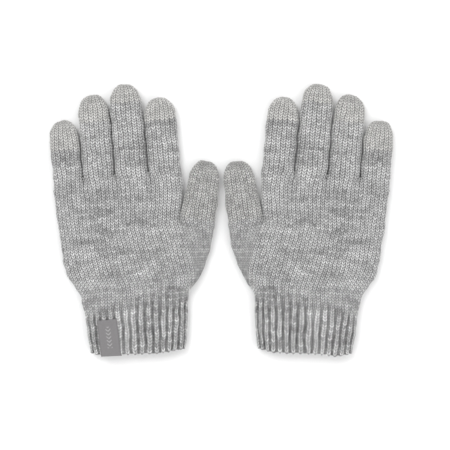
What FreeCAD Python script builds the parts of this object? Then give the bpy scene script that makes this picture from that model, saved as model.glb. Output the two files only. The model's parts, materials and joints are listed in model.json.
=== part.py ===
"""A pair of knitted touchscreen gloves, lying flat with the backs of the hands up.

Each glove is knitted as a set of tubes, from the fingertips down: four fingers that join into the upper hand,
a thumb that joins it at the lower hand, and a ribbed cuff. The ends of the fingers and the whole thumb are
knitted in a conductive yarn. The left glove carries a woven label that is folded round its hem.

One glove is drawn in its own flat frame: X across the hand, from the thumb's side to the little finger's side,
Y along the hand towards the fingertips, Z up from the surface it lies on. The origin of that frame is near the
middle of the wrist, a little inside the hand. The right glove is that drawing, leaned outwards and set beside
the midline of the pair, and the left glove is its mirror image. All sizes are in millimetres.
"""

import FreeCAD, Part  # noqa: E401  FreeCAD has to be imported before Part
import math
import os

Vec = FreeCAD.Vector

# Fabric and heights
WALL = 2.0                    # thickness of the jersey
RIB_WALL = 2.4                # thickness of the rib knit at its crests
HAND_HEIGHT = 12.6            # a hand lying flat, both layers and the air between them
FINGER_HEIGHT = 12.6
CUFF_HEIGHT = 13.6
CROWN = 0.8                   # rise of the upper layer from its sides to its middle
CUFF_CROWN = 0.3              # the same, inside the cuff
SUNK = 0.4                    # what is cut off below, so that the fabric rests on a true plane

# Lengths along the hand, from the wrist
HEM = -48.3
HEM_LEAN = 2.0                # degrees by which the hem drops towards the thumb's side
WRIST = -3.5
THUMB_CROTCH = (-40.8, 55.8)
FINGER_CROTCH = 94.2

# The hand's two outlines: (distance along, thumb side, little finger side)
LOWER_HAND = [
    (WRIST, -42.6, 42.2),
    (2.5, -49.4, 43.4),
    (12.0, -55.3, 49.8),
    (26.0, -61.2, 54.2),
    (42.0, -65.9, 55.2),
    (58.0, -70.3, 56.0),
]
UPPER_HAND = [
    (THUMB_CROTCH[1], -40.6, 55.9),
    (68.0, -42.9, 56.5),
    (80.0, -44.3, 57.1),
    (FINGER_CROTCH, -44.8, 57.3),
]
CUFF = [(HEM, -36.4, 39.2), (-26.0, -39.4, 41.0), (WRIST, -41.8, 41.6)]

# Fingers: (middle of the base, width, length from the crotch to the tip, length of the conductive cap)
FINGERS = {
    "little": (45.5, 23.2, 46.6, 26.5),
    "ring": (20.3, 25.2, 64.8, 25.5),
    "middle": (-5.8, 26.2, 71.2, 19.5),
    "index": (-32.2, 25.3, 58.6, 23.5),
}
THUMB_WIDTH = 27.4
THUMB_LENGTH = 46.5
THUMB_LEAN = 14.0             # degrees away from the fingers
THUMB_CLEARANCE = 0.5         # between the thumb and the crotch beside it
THUMB_TAPER = 0.86
FINGER_TAPER = 0.99           # width where the dome starts, as a share of the base
DOME = 17.5                   # length of the rounded end of a finger
DOME_POWER = 2.4              # 2 makes the dome an ellipse, more makes it blunter
DOME_STOPS = (0.3, 0.55, 0.75, 0.88, 0.96, 0.995)  # where its sections are drawn, as shares of its length

# The fold at each knuckle
KNUCKLE = 6.9                 # from the crotch to the fold's axis
KNUCKLE_ROUND = 6.35          # radius of a finger's end about that axis, just short of the hand

# Cuff ribs, elastic, crotch loops and label
RIBS = 26
RIB_DEPTH = 0.8
ELASTIC_ROUNDS = 8
ELASTIC_THICK = 0.7
ELASTIC_WIDTH = 0.9
WEB = 1.4                     # thickness of the wall of fabric inside the hand below each slit between fingers
WEB_LENGTH = 6.0
LOOP_RADIUS = 1.3
LOOP_YARN = 0.45
LOOP_SETBACK = 2.0            # from a crotch to the middle of its loop
LOOP_SUNK = 0.2               # how far the middle of a loop's yarn lies below the top of the hand
LABEL_WIDTH = 16.0
LABEL_TOP = -20.0
LABEL_MIDDLE = 22.3
LABEL_LEAN = 2.2
LABEL_THICK = 0.7
LABEL_GAP = 0.15              # how loosely the label passes round the hem
LABEL_FOLD = 0.7              # how far its fold stands out from the hem
LABEL_TURN_IN = 9.0
LABEL_UNDERSIDE = 13.5        # just pressed into the crests of the ribs
STITCH_INSET = 1.0            # from the label's edges
STITCH_RADIUS = 0.2
STITCH_LENGTH = 1.7
STITCH_PITCH = 2.6

# Where a glove lies beside the midline of the pair
GLOVE_OFFSET = (69.2, -56.74)
GLOVE_LEAN = 5.0

# Cutting bodies reach past what they cut
SPARE = 2.0
HIGH = 30.0
LONG = 120.0


def section(width, height, crown=CROWN):
    """A flattened round in the XZ plane, centred on the origin: flat below, round at its sides, crowned above."""
    half, r = width / 2, height / 2
    flat = half - r
    a, b = Vec(-flat, 0, -r), Vec(flat, 0, -r)
    c, d = Vec(flat, 0, r - crown), Vec(-flat, 0, r - crown)
    right = Part.Arc(b, Vec(half, 0, -crown / 2), c).toShape()
    left = Part.Arc(d, Vec(-half, 0, -crown / 2), a).toShape()
    top = Part.Arc(c, Vec(0, 0, r), d).toShape()
    return Part.Wire([Part.LineSegment(a, b).toShape(), right, top, left])


def placed(shape, x, y, z=0.0, lean=0.0):
    """A shape moved to a place in the glove's frame, leaned from Y towards X by that many degrees."""
    shape = shape.copy()
    shape.rotate(Vec(0, 0, 0), Vec(0, 0, 1), -lean)
    shape.translate(Vec(x, y, z))
    return shape


def loft(wires):
    return Part.makeLoft(wires, True, False)


def above_surface(shape):
    """The shape with what lies below the surface cut off flat."""
    box = shape.BoundBox
    corner = Vec(box.XMin - SPARE, box.YMin - SPARE, -HIGH)
    slab = Part.makeBox(box.XLength + 2 * SPARE, box.YLength + 2 * SPARE, HIGH, corner)
    return shape.cut(slab)


def shell(stations, height, wall, crown=CROWN):
    """A hollow tube through (distance along, one side, other side) stations, open at both ends."""
    mid = height / 2 - SUNK / 2

    def body(inset):
        wires = [
            placed(section(b - a - 2 * inset, height + SUNK - 2 * inset, crown), (a + b) / 2, y, mid)
            for y, a, b in stations
        ]
        return loft(wires)

    outer = body(0)
    inner = body(wall)
    first, last = stations[0], stations[-1]
    caps = []
    for (y, a, b), way in ((first, -1), (last, 1)):
        wire = placed(section(b - a - 2 * wall, height + SUNK - 2 * wall, crown), (a + b) / 2, y, mid)
        caps.append(Part.Face(wire).extrude(Vec(0, way, 0)))
    return outer.cut(inner.fuse(caps))


def prism(points):
    """An upright prism on a closed outline in the glove's frame, from below the surface to above the glove."""
    wire = Part.makePolygon([Vec(x, y, -HIGH) for x, y in [*points, points[0]]])
    return Part.Face(wire).extrude(Vec(0, 0, 2 * HIGH))


def lower_hand():
    """The hand from the wrist up to the thumb's base on one side and the upper hand on the other."""
    hand = shell(LOWER_HAND, HAND_HEIGHT, WALL)
    x, y = THUMB_CROTCH
    lean = math.radians(THUMB_LEAN)
    thumb_side = x - LONG * math.cos(lean), y - LONG * math.sin(lean)
    roof = prism([(LONG, y), (x, y), thumb_side, (thumb_side[0], LONG), (LONG, LONG)])
    return above_surface(hand.cut(roof))


def upper_hand():
    """The hand from the thumb's crotch to the fingers' crotches, with a web of fabric below each of these."""
    hand = shell(UPPER_HAND, HAND_HEIGHT, WALL)
    for x in crotches():
        corner = Vec(x - WEB / 2, FINGER_CROTCH - WEB_LENGTH, WALL / 2)
        hand = hand.fuse(Part.makeBox(WEB, WEB_LENGTH, HAND_HEIGHT - WALL, corner))
    return above_surface(hand)


def crotches():
    """Where two fingers meet, across the hand."""
    names = list(FINGERS)
    edges = []
    for a, b in zip(names, names[1:]):
        right_of_b = FINGERS[b][0] + FINGERS[b][1] / 2
        left_of_a = FINGERS[a][0] - FINGERS[a][1] / 2
        edges.append((right_of_b + left_of_a) / 2)
    return edges


def dome_share(along, length, dome, taper):
    """Width of a finger at a distance from its base, as a share of its width at the base."""
    straight = length - dome
    if along <= straight:
        return 1 - (1 - taper) * along / straight
    u = (along - straight) / dome
    return taper * math.sqrt(max(0.0, 1 - u**DOME_POWER))


def finger_solid(width, length, taper, inset):
    """A whole finger to its tip from a little before its base at Y 0, shrunk by the inset all round."""
    straight = length - DOME
    dome = DOME - inset
    stops = [-KNUCKLE, 0.0, straight, *(straight + dome * share for share in DOME_STOPS)]
    wires = []
    for y in stops:
        share = dome_share(max(y, 0.0), length - inset, dome, taper)
        wall = inset * min(1.0, share / taper)
        w = width * share - 2 * wall
        h = (FINGER_HEIGHT + SUNK) * min(1.0, share / taper) - 2 * wall
        wires.append(placed(section(w, h, CROWN * share), 0, y, FINGER_HEIGHT / 2 - SUNK / 2))
    return loft(wires[:3]).fuse(loft(wires[2:]))


def knuckle_keep(width):
    """What a finger keeps at its base, so that it can turn: all beyond the fold's axis, and a round before it."""
    side = -width / 2 - SPARE
    beyond = Part.makeBox(width + 2 * SPARE, LONG, 2 * HIGH, Vec(side, KNUCKLE, -HIGH))
    axis_start = Vec(side, KNUCKLE, FINGER_HEIGHT / 2)
    barrel = Part.makeCylinder(KNUCKLE_ROUND, width + 2 * SPARE, axis_start, Vec(1, 0, 0))
    return beyond.fuse(barrel)


def finger_parts(width, length, taper, cap):
    """The main-yarn tube and the conductive cap of a finger, in its own frame."""
    whole = finger_solid(width, length, taper, 0).cut(finger_solid(width, length, taper, WALL))
    whole = above_surface(whole.common(knuckle_keep(width)))
    if cap >= length:
        return None, whole
    split = Part.makeBox(width + 2 * SPARE, LONG, 2 * HIGH, Vec(-width / 2 - SPARE, length - cap, -HIGH))
    return whole.cut(split), whole.common(split)


def rib_wire(width, height):
    """The outside of the cuff: a flattened round with ribs and furrows, in the XZ plane."""
    half, r = width / 2, height / 2
    flat = 2 * (half - r)
    around = 2 * flat + 2 * math.pi * r
    steps = RIBS * 4
    points = []
    for k in range(steps):
        s = around * k / steps
        depth = RIB_DEPTH * (0.5 - 0.5 * math.cos(2 * math.pi * k / 4))
        if s < flat:
            x, z, nx, nz = -flat / 2 + s, -r, 0.0, -1.0
        elif s < flat + math.pi * r:
            turn = (s - flat) / r - math.pi / 2
            nx, nz = math.cos(turn), math.sin(turn)
            x, z = flat / 2 + r * nx, r * nz
        elif s < 2 * flat + math.pi * r:
            x, z, nx, nz = flat / 2 - (s - flat - math.pi * r), r, 0.0, 1.0
        else:
            turn = (s - 2 * flat - math.pi * r) / r + math.pi / 2
            nx, nz = math.cos(turn), math.sin(turn)
            x, z = -flat / 2 + r * nx, r * nz
        points.append(Vec(x - depth * nx, 0, z - depth * nz))
    curve = Part.BSplineCurve()
    curve.interpolate(points, PeriodicFlag=True)
    return Part.Wire([curve.toShape()])


def cuff():
    """The ribbed tube below the wrist, drawn longer than it is and cut off along the slanting hem."""
    mid = CUFF_HEIGHT / 2 - SUNK / 2
    (_, *hem), middle, (_, *wrist) = CUFF
    low = HEM - 2 * SPARE
    outer = loft([
        placed(rib_wire(b - a, CUFF_HEIGHT + SUNK), (a + b) / 2, y, mid)
        for y, a, b in ((low, *hem), middle, (WRIST, *wrist))
    ])
    inner = loft([
        placed(section(b - a - 2 * RIB_WALL, CUFF_HEIGHT + SUNK - 2 * RIB_WALL, CUFF_CROWN), (a + b) / 2, y, mid)
        for y, a, b in ((low - SPARE, *hem), middle, (WRIST + SPARE, *wrist))
    ])
    block = Part.makeBox(2 * LONG, HIGH, 2 * HIGH, Vec(-LONG, -HIGH, -HIGH))
    below_hem = placed(block, 0, HEM, 0, -HEM_LEAN)
    return above_surface(outer.cut(inner).cut(below_hem))


def cuff_elastic():
    """Rounds of flat covered elastic laid in behind the ribs, half sunk in the inside of the cuff."""
    rounds = []
    mid = CUFF_HEIGHT / 2 - SUNK / 2
    for k in range(ELASTIC_ROUNDS):
        y = HEM + (WRIST - HEM) * (k + 0.6) / ELASTIC_ROUNDS
        share = (y - HEM) / (WRIST - HEM)
        a = CUFF[0][1] + (CUFF[2][1] - CUFF[0][1]) * share
        b = CUFF[0][2] + (CUFF[2][2] - CUFF[0][2]) * share
        faces = []
        for inset in (RIB_WALL - ELASTIC_THICK / 2, RIB_WALL + ELASTIC_THICK / 2):
            wire = section(b - a - 2 * inset, CUFF_HEIGHT + SUNK - 2 * inset, CUFF_CROWN)
            faces.append(Part.Face(placed(wire, (a + b) / 2, y, mid)).extrude(Vec(0, ELASTIC_WIDTH, 0)))
        rounds.append(faces[0].cut(faces[1]))
    return Part.makeCompound(rounds)


def crotch_loops():
    """The small closing loops of yarn at the foot of each slit between fingers, and at the thumb's."""
    spots = [*((x, FINGER_CROTCH) for x in crotches()), THUMB_CROTCH]
    return Part.makeCompound([
        Part.makeTorus(LOOP_RADIUS, LOOP_YARN, Vec(x, y - LOOP_SETBACK, HAND_HEIGHT - LOOP_SUNK)) for x, y in spots
    ])


def label():
    """A woven strip that lies on the cuff's back, turns round the hem and ends inside."""
    top = LABEL_UNDERSIDE
    inside = CUFF_HEIGHT - SUNK - RIB_WALL - ELASTIC_THICK / 2 - LABEL_GAP
    edge = HEM + LABEL_MIDDLE * math.tan(math.radians(HEM_LEAN)) - LABEL_GAP
    middle = (top + inside) / 2
    end = edge + LABEL_TURN_IN

    def at(along, z):
        return Vec(0, along, z)

    edges = [
        Part.LineSegment(at(LABEL_TOP, top + LABEL_THICK), at(edge, top + LABEL_THICK)),
        Part.Arc(at(edge, top + LABEL_THICK), at(edge - LABEL_FOLD - LABEL_THICK, middle),
                 at(edge, inside - LABEL_THICK)),
        Part.LineSegment(at(edge, inside - LABEL_THICK), at(end, inside - LABEL_THICK)),
        Part.LineSegment(at(end, inside - LABEL_THICK), at(end, inside)),
        Part.LineSegment(at(end, inside), at(edge, inside)),
        Part.Arc(at(edge, inside), at(edge - LABEL_FOLD, middle), at(edge, top)),
        Part.LineSegment(at(edge, top), at(LABEL_TOP, top)),
        Part.LineSegment(at(LABEL_TOP, top), at(LABEL_TOP, top + LABEL_THICK)),
    ]
    strip = Part.Face(Part.Wire([edge.toShape() for edge in edges])).extrude(Vec(LABEL_WIDTH, 0, 0))
    strip.translate(Vec(LABEL_MIDDLE - LABEL_WIDTH / 2, 0, 0))
    return on_label(strip)


def on_label(shape):
    """The shape leaned with the ribs, as the label and its stitches are."""
    shape.rotate(Vec(LABEL_MIDDLE, HEM, 0), Vec(0, 0, 1), -LABEL_LEAN)
    return shape


def stitch(x, y, z, way):
    """One short sewn stitch, round at both ends."""
    start = Vec(x, y, z) - way * (STITCH_LENGTH / 2)
    body = Part.makeCylinder(STITCH_RADIUS, STITCH_LENGTH, start, way)
    ends = [Part.makeSphere(STITCH_RADIUS, start), Part.makeSphere(STITCH_RADIUS, start + way * STITCH_LENGTH)]
    return body.fuse(ends)


def label_stitching():
    """The running stitch across the head of the label that holds it to the cuff, sunk by half into the label."""
    z = LABEL_UNDERSIDE + LABEL_THICK
    y = LABEL_TOP - STITCH_INSET
    row = LABEL_WIDTH - 2 * STITCH_INSET
    count = int(row / STITCH_PITCH)
    return on_label(Part.makeCompound([
        stitch(LABEL_MIDDLE + row * ((k + 0.5) / count - 0.5), y, z, Vec(1, 0, 0)) for k in range(count)
    ]))


def glove():
    """Every piece that both gloves have, in the glove's own frame."""
    parts = {
        "cuff": cuff(),
        "cuff_elastic": cuff_elastic(),
        "lower_hand": lower_hand(),
        "upper_hand": upper_hand(),
        "crotch_loops": crotch_loops(),
    }
    for name, (x, width, length, cap) in FINGERS.items():
        tube, tip = finger_parts(width, length, FINGER_TAPER, cap)
        parts[name + "_finger"] = placed(tube, x, FINGER_CROTCH)
        parts[name + "_fingertip"] = placed(tip, x, FINGER_CROTCH)
    thumb = finger_parts(THUMB_WIDTH, THUMB_LENGTH, THUMB_TAPER, THUMB_LENGTH)[1]
    x, y = thumb_base()
    parts["thumb"] = placed(thumb, x, y, 0, -THUMB_LEAN)
    return parts


def thumb_base():
    """The middle of the thumb's base, which starts at the crotch and runs square to the thumb."""
    lean = math.radians(THUMB_LEAN)
    half = THUMB_WIDTH / 2 + THUMB_CLEARANCE
    return THUMB_CROTCH[0] - half * math.cos(lean), THUMB_CROTCH[1] - half * math.sin(lean)


def beside_midline(shape):
    """A shape of the right glove, moved from the glove's frame to its place in the pair."""
    return placed(shape, *GLOVE_OFFSET, lean=GLOVE_LEAN)


def main():
    os.makedirs("parts", exist_ok=True)
    right = {name: beside_midline(shape) for name, shape in glove().items()}
    left = {**right, "label": beside_midline(label()), "label_stitching": beside_midline(label_stitching())}
    for name, shape in right.items():
        shape.exportStep(f"parts/right_{name}.step")
    for name, shape in left.items():
        shape.mirror(Vec(0, 0, 0), Vec(1, 0, 0)).exportStep(f"parts/left_{name}.step")


main()
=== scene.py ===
import json
import math

import bpy
import numpy as np
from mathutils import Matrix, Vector


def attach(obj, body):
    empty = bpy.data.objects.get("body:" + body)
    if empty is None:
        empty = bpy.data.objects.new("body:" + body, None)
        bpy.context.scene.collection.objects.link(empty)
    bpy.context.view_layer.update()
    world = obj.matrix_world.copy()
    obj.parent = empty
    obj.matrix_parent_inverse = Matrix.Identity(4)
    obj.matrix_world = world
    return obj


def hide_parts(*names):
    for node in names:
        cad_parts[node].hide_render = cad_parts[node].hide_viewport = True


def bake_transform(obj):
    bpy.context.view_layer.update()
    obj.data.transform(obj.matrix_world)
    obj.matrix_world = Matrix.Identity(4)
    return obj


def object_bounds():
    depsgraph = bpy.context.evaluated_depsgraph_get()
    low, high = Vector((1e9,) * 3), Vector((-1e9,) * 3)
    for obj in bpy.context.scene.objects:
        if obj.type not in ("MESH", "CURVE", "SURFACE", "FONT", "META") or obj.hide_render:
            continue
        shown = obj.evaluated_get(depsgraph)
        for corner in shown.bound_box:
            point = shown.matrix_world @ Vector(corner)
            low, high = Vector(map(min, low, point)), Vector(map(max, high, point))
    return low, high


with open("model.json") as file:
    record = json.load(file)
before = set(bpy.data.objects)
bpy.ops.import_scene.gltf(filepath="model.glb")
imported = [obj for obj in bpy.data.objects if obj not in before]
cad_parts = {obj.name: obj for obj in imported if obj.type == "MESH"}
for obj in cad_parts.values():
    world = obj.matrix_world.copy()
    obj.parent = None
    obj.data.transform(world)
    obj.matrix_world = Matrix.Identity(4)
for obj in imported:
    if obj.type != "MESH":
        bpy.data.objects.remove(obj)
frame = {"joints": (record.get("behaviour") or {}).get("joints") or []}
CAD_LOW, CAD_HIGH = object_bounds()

# The looks of a pair of knitted touchscreen gloves. Every knitted piece is a tube of stitches. Its surface is
# laid out in stitch units: u counts wales, the columns of stitches, round the tube, and v counts courses, the
# rows, along it. Each stitch is modelled as the two legs of its V.
#
# One glove is drawn in its own flat frame, in millimetres: x runs from the thumb's side to the little
# finger's side, y from the wrist to the fingertips, z up. The right-hand glove is that drawing, placed by the
# hinge of its middle finger, and the left-hand glove is its mirror image.

MM = 0.001

# Lengths and outlines of one glove, in its own frame
HEM, WRIST, FINGER_CROTCH = -49.0, -3.5, 94.2
HEM_SLOPE = 0.035             # it rises towards the little finger's side
HEM_LIFT = 2.4                # how far it turns up at its sides
HEM_REACH, WRIST_REACH = 7.0, 4.0   # over which the hem's shape and the hand's height fade into the cuff
THUMB_CROTCH = (-41.0, 55.8)
KNUCKLE = 6.9                 # from a crotch to the hinge beyond it
CUFF_THUMB_SIDE = [(-50.5, -35.2), (-42.0, -37.3), (-26.0, -39.6), (-12.0, -41.2), (WRIST, -42.9)]
CUFF_LITTLE_SIDE = [(-50.5, 38.6), (-42.0, 39.3), (-26.0, 40.2), (-12.0, 41.2), (WRIST, 42.3)]
HAND_THUMB_SIDE = [(WRIST, -42.9), (3.0, -49.3), (12.0, -55.4), (26.0, -61.6), (42.0, -66.6), (58.0, -71.0)]
HAND_LITTLE_SIDE = [
    (WRIST, 42.3), (2.5, 43.6), (12.0, 49.9), (26.0, 53.9), (42.0, 54.9), (58.0, 55.9), (80.0, 56.8),
    (FINGER_CROTCH, 57.2),
]
HAND_INDEX_SIDE = [(THUMB_CROTCH[1], -40.6), (68.0, -43.2), (80.0, -44.6), (FINGER_CROTCH, -45.0)]

# Fingers: middle of the base, width, length from the crotch, length of the conductive end
FINGERS = {
    "index": (-32.4, 24.5, 58.4, 23.5),
    "middle": (-5.9, 24.6, 70.8, 19.5),
    "ring": (20.3, 23.9, 64.6, 25.5),
    "little": (45.5, 22.6, 46.4, 26.5),
}
FINGER_TAPER, DOME = 1.0, 17.0    # the width where the rounded end starts, as a share, and that end's length
DOME_POWER = 2.5              # 2 makes the end an ellipse, more makes it blunter
LAST_RING = 0.9985            # where its last ring lies, of the way up its side
THUMB_WIDTH, THUMB_LENGTH, THUMB_LEAN, THUMB_TAPER, THUMB_DOME = 27.6, 47.5, 14.0, 0.88, 17.5
THUMB_GAP = 0.5               # on either side of its crotch
PARTING = 5.0                 # how far below a crotch its parting still shows

# Heights
MIDDLE_HEIGHT = 5.7           # of the fold at the tube's sides
RISE, FALL = 5.7, 5.2         # from there up to the upper layer and down to the lower layer
CUFF_RISE, CUFF_FALL = 6.2, 5.2
WALL = 1.5
FURROW_FOLLOWED = 0.8         # how much of a furrow's depth the inner face follows

# Stitches
COURSE = 2.2                  # height of one course
THUMB_WALES, FINGER_WALES = 10, 8   # on the upper layer, and as many on the lower one
PALM_WALES = 4 * FINGER_WALES
CUFF_COURSES = round((WRIST - HEM) / COURSE)
LOWER_COURSES = round((THUMB_CROTCH[1] - WRIST) / COURSE)
UPPER_COURSES = round((FINGER_CROTCH - THUMB_CROTCH[1]) / COURSE)
UPPER_STEPS, LOWER_STEPS, COURSE_STEPS = 10, 6, 8   # quads across an upper wale, a lower wale, and a course
LEG_SLOPE = 0.85              # courses that a stitch's leg climbs from its foot to its shoulder
RELIEF = 0.65                 # how far a stitch stands out
FULL_WALE = 2.2               # narrower wales than this stand out less
LOWEST = 0.03                 # where the stitches rest on the surface
SIDE_CROWDING = 0.15          # how much the wales draw together at the folds of the sides
GATHERED = 0.004              # the thumb's share of the round at the wrist, where its wales are gathered

# Ribs, each of them one wale and the furrow beside it
RIB_WIDTH = 1.42              # of the two wales' widths that a rib and its furrow share, what the rib takes
RIB_CREST, RIB_FURROW = 0.30, 1.5
RIBS_NARROW = 8               # over how many courses next to the hand a rib narrows to one wale
CUFF_WALE = 2.7               # width of a wale there
PAINTED_FURROW_SHADE = 0.46           # painted shade: how much darker the yarn's colour is made at the bottom of a furrow, where shade falls
RIB_SPREAD = 0.5              # how much more the ribs' stitches differ in lightness than the hand's
RIBS_END = CUFF_COURSES + 5   # the course where they have faded out on the thumb's side
RIBS_END_DROP, RIBS_FADE = 6, 12    # how much sooner they end on the other side, and over how many courses
HEM_SCALLOP = 0.7

# What makes a hand-laid knit irregular: axis, how far the stitches are moved along it, the size of the lumps
SETTLING = [(0, 0.30, 6.0), (0, 0.15, 3.0), (1, 0.35, 8.0), (1, 0.15, 3.2), (2, 0.25, 15.0), (2, 0.10, 4.0)]
GLOVE_SEEDS = {"left": 11, "right": 47}
RIB_SEED, LABEL_SEED = 91, 5

# Elastic, closing loops and label
ELASTIC_ROUNDS, ELASTIC_RADIUS = 8, 0.3
LOOP_YARN = 0.42              # its radius
LABEL_MIDDLE, LABEL_WIDTH, LABEL_HEAD, LABEL_LEAN = 22.3, 16.0, -20.0, 2.2
LABEL_THICK, LABEL_FOLD, LABEL_TURN_IN = 0.45, 0.75, 9.0
LABEL_LENGTH = 43.8           # of the strip it was cut to
LABEL_CLEAR = 1.45            # of the label's middle surface above the cuff's smooth surface
LABEL_INNER = 4.4             # of its turned-in end below that surface
LABEL_SAG, SAG_PITCH = 0.10, 5.9    # how far it sinks between the ribs, and their distance
LABEL_CURL, CURL_WIDTH = 0.12, 1.2  # how far its long edges turn down, and over what width
THREAD_RADIUS, THREAD_STITCHES = 0.14, 6

# The view: its width on the plane of the gloves' backs, and its centre from the middle of the pair, in metres
VIEW_WIDTH, VIEW_HEIGHT, VIEW_SHIFT = 0.3569, 0.012, (0.0028, -0.0036)
LENS, SENSOR = 85.0, 36.0


# Shapes ---------------------------------------------------------------------------------------------------

def between(table, y):
    """The smooth value at y of a table of (y, value) pairs."""
    ys = np.array([row[0] for row in table])
    values = np.array([row[1] for row in table])
    slopes = np.gradient(values, ys)
    y = np.clip(y, ys[0], ys[-1])
    k = np.clip(np.searchsorted(ys, y) - 1, 0, len(ys) - 2)
    step = ys[k + 1] - ys[k]
    t = (y - ys[k]) / step
    a, b = values[k], values[k + 1]
    c, d = slopes[k] * step, slopes[k + 1] * step
    return a + c * t + (3 * (b - a) - 2 * c - d) * t**2 + (2 * (a - b) + c + d) * t**3


def wobble(points, size, seed):
    """Smooth irregular noise from -1 to 1 at the points, with lumps of about the given size."""
    rng = np.random.default_rng(seed)
    waves = 9
    total = np.zeros(points.shape[:-1])
    for _ in range(waves):
        way = rng.normal(size=points.shape[-1])
        way *= 2 * math.pi / (size * rng.uniform(1.4, 2.6)) / np.linalg.norm(way)
        total += np.sin(points @ way + rng.uniform(0, 2 * math.pi))
    return total / math.sqrt(waves)


def half_section(width, height, power, fractions):
    """Points spread evenly along half of a flattened round: across it, and its height above its sides."""
    turn = np.linspace(0, math.pi, 361)
    across = -np.sign(np.cos(turn)) * np.abs(np.cos(turn)) ** (2 / power) * width / 2
    up = np.sin(turn) * height
    length = np.concatenate([[0], np.cumsum(np.hypot(np.diff(across), np.diff(up)))])
    at = np.asarray(fractions) * length[-1]
    return np.interp(at, length, across), np.interp(at, length, up)


def side_power(width):
    """How squarely a tube of this width turns over at its sides."""
    return 2.1 + 0.075 * width


def lobe(path, rise, fall, up_fractions, down_fractions):
    """A tube's section over a path in plan: its upper points from left to right, and its lower ones."""
    steps = np.hypot(*np.diff(path, axis=0).T)
    length = np.concatenate([[0], np.cumsum(steps)])
    width = length[-1]
    power = side_power(width)
    halves = []
    for fractions, height, squarer in ((up_fractions, rise, 1.0), (down_fractions, -fall, 1.5)):
        across, up = half_section(width, height, power * squarer, fractions)
        along = across + width / 2
        x = np.interp(along, length, path[:, 0])
        y = np.interp(along, length, path[:, 1])
        halves.append(np.stack([x, y, MIDDLE_HEIGHT + up], axis=1))
    return halves


def even(wales, steps):
    """Even fractions of the way across so many wales, one for each column of quads."""
    return np.arange(wales * steps) / (wales * steps)


def ring_of(lobes):
    """The ring round a row of (path, wales, rise, fall) tubes: along their tops and back underneath."""
    tops, bottoms = [], []
    for path, wales, rise, fall in lobes:
        up, down = lobe(path, rise, fall, even(wales, UPPER_STEPS), 1 - even(wales, LOWER_STEPS))
        tops.append(up)
        bottoms.append(down)
    return np.concatenate(tops + bottoms[::-1])


def wales_round(top, bottom, wales):
    """The u of both edges of each column of quads of a tube, for its upper wales and then its lower ones."""
    spans = ((top, UPPER_STEPS), (bottom, LOWER_STEPS))
    edges = [first + np.arange(wales * steps + 1) / steps for first, steps in spans]
    return np.concatenate([e[:-1] for e in edges]), np.concatenate([e[1:] for e in edges])


def straight(left, right, y):
    """A straight path in plan across a glove."""
    return np.array([(left, y), (right, y)])


def rows_of(start, courses, past_end=1):
    """The v of each row of a section, with one row before its start, and one past its end if it goes on."""
    return start + np.arange(-1, courses * COURSE_STEPS + 1 + past_end) / COURSE_STEPS


# Sections of a glove --------------------------------------------------------------------------------------
#
# Each gives its rings, the u of their columns' edges and the v of their rows. Round the hand, u counts the
# thumb's upper wales, the palm's upper and then lower wales, and the thumb's lower ones. Along it, v counts
# courses from the hem. So the pattern runs on from one section to the next.

def crowded(fractions, amount):
    """Fractions of the way across a layer, drawn together towards the folds at its sides."""
    return fractions - amount * np.sin(2 * math.pi * fractions) / (2 * math.pi)


def cuff_rings():
    """The ribbed cuff from the hem to the wrist. Its ribs are wider than its furrows, except at the hand."""
    rows = rows_of(0, CUFF_COURSES)
    u, u_next = wales_round(THUMB_WALES, THUMB_WALES + PALM_WALES, PALM_WALES)
    wale = u - THUMB_WALES
    rings = []
    for row in rows:
        y = HEM + (WRIST - HEM) * row / CUFF_COURSES
        a, b = float(between(CUFF_THUMB_SIDE, y)), float(between(CUFF_LITTLE_SIDE, y))
        near_hem = math.exp(-(y - HEM) / HEM_REACH)
        near_hand = math.exp((y - WRIST) / WRIST_REACH)
        rise = CUFF_RISE + (RISE - CUFF_RISE) * near_hand
        rib_width = 1.0 + (RIB_WIDTH - 1.0) * min(1.0, max(0.0, (CUFF_COURSES - row) / RIBS_NARROW))
        within = np.interp(wale % 2, [0, 1, 2], [0, rib_width, 2])
        fraction = (wale - wale % 2 + within) / PALM_WALES
        up = crowded(fraction[fraction < 1], SIDE_CROWDING)
        down = crowded(2 - fraction[fraction >= 1], SIDE_CROWDING)
        ring = np.concatenate(lobe(straight(a, b, y), rise, CUFF_FALL, up, down))
        aside = np.abs(2 * (ring[:, 0] - a) / (b - a) - 1)
        ring[:, 1] += near_hem * (HEM_SLOPE * ring[:, 0] + HEM_LIFT * aside**7)
        ring[:, 1] -= HEM_SCALLOP * math.exp(-row / 1.5) * np.sin(math.pi * np.clip(wale % 2, 0, 1))
        rings.append(ring)
    return np.array(rings), (u, u_next), rows


def rib_depth(u, v):
    """How fully the ribs are formed: they fade out across the wrist, sooner on the little finger's side."""
    across = np.clip((u - THUMB_WALES) / PALM_WALES, 0, 1)
    t = np.clip((RIBS_END - RIBS_END_DROP * across**2 - v) / RIBS_FADE, 0, 1)
    return t * t * (3 - 2 * t)


def rib_relief(u, v):
    """How far the fabric stands out between the furrows of the ribs: every second wale is sunk."""
    wave = np.sin(math.pi * (u - THUMB_WALES))
    uneven = 1 + 0.35 * wobble(np.stack([u * CUFF_WALE, v * COURSE], axis=-1), 9.0, RIB_SEED)
    furrow = np.clip(-wave, 0, 1) ** 1.1
    return rib_depth(u, v) * uneven * (RIB_CREST * np.clip(wave, 0, 1) - RIB_FURROW * furrow)


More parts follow.
